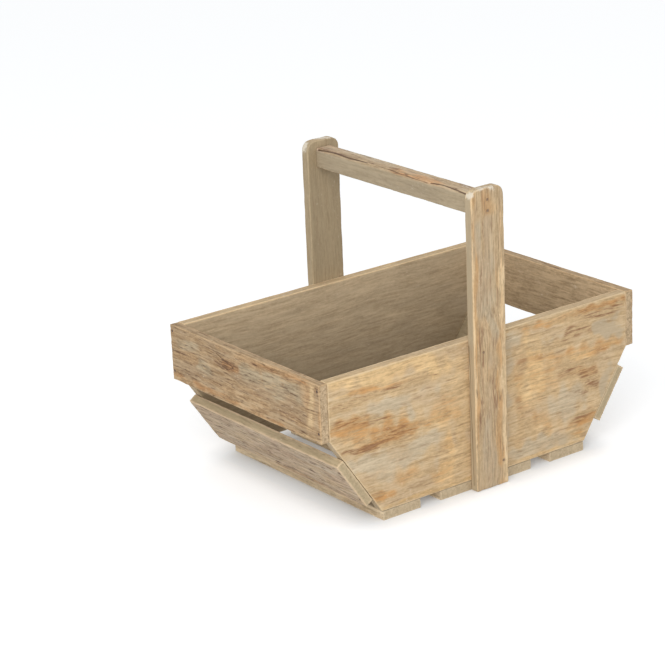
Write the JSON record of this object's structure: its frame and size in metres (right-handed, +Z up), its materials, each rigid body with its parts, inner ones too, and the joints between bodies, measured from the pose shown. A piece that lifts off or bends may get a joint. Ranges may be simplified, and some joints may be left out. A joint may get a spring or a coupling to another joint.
{
  "type": "garden trug",
  "caption": "Wooden garden trug with slanted ends, open slatted base and a fixed bridge handle, nailed from weathered boards.",
  "frame": {"origin": "on the ground, under the middle of the base", "axes": "+X along the trug to its right-hand end, +Y to the back, +Z up"},
  "size_m": [0.4, 0.265, 0.306],
  "materials": {
    "side_boards": "weathered, sanded softwood with a worn grey wash",
    "end_boards": "weathered softwood with a grey-brown wash",
    "base_slats": "rough-sawn softwood",
    "uprights": "weathered softwood, worn along its edges",
    "handle_bar": "weathered softwood, worn smooth on top",
    "nails": "dull, tarnished"
  },
  "bodies": {
    "root": {"front_side_board": "side_boards", "back_side_board": "side_boards", "left_upper_end_board": "end_boards", "left_lower_end_board": "end_boards", "right_upper_end_board": "end_boards", "right_lower_end_board": "end_boards", "base_slat_1": "base_slats", "base_slat_2": "base_slats", "base_slat_3": "base_slats", "base_slat_4": "base_slats", "front_upright": "uprights", "back_upright": "uprights", "handle_bar": "handle_bar", "left_upper_end_nails": "nails", "left_lower_end_nails": "nails", "right_upper_end_nails": "nails", "right_lower_end_nails": "nails", "base_slat_1_nails": "nails", "base_slat_2_nails": "nails", "base_slat_3_nails": "nails", "base_slat_4_nails": "nails", "front_upright_nails": "nails", "back_upright_nails": "nails", "front_handle_nails": "nails", "back_handle_nails": "nails"}
  },
  "joints": []
}
